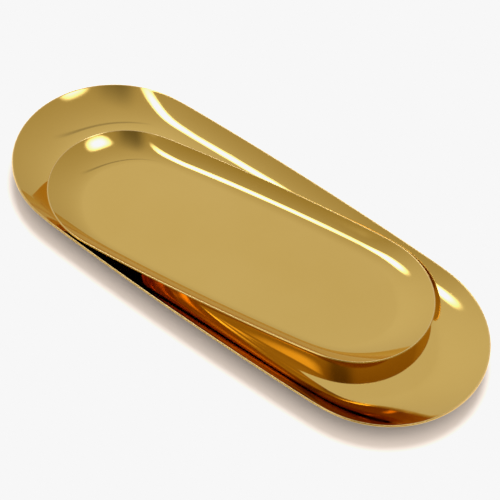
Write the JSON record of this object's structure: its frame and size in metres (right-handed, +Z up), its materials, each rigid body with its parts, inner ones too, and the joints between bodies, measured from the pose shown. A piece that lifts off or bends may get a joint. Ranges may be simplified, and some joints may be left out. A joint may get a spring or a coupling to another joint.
{
  "type": "nested oval tray set",
  "caption": "Nested polished brass trays: a long oval tray with round ends, flat floor and low flared wall, and a smaller matching tray that lies turned inside it and lifts out.",
  "frame": {"origin": "middle of the large tray's underside", "axes": "+X along the large tray's length, +Y across it, +Z up out of the trays"},
  "size_m": [0.3048, 0.1238, 0.0124],
  "materials": {
    "large_tray_brass": "polished, near mirror",
    "small_tray_brass": "polished, near mirror"
  },
  "bodies": {
    "large_tray": {"large_tray": "large_tray_brass"},
    "small_tray": {"small_tray": "small_tray_brass"}
  },
  "joints": [
    {"name": "small_tray_lift", "type": "slide", "parent": "large_tray", "child": "small_tray", "axis": [0, 0, 1], "range_m": [0, 0.06]}
  ]
}
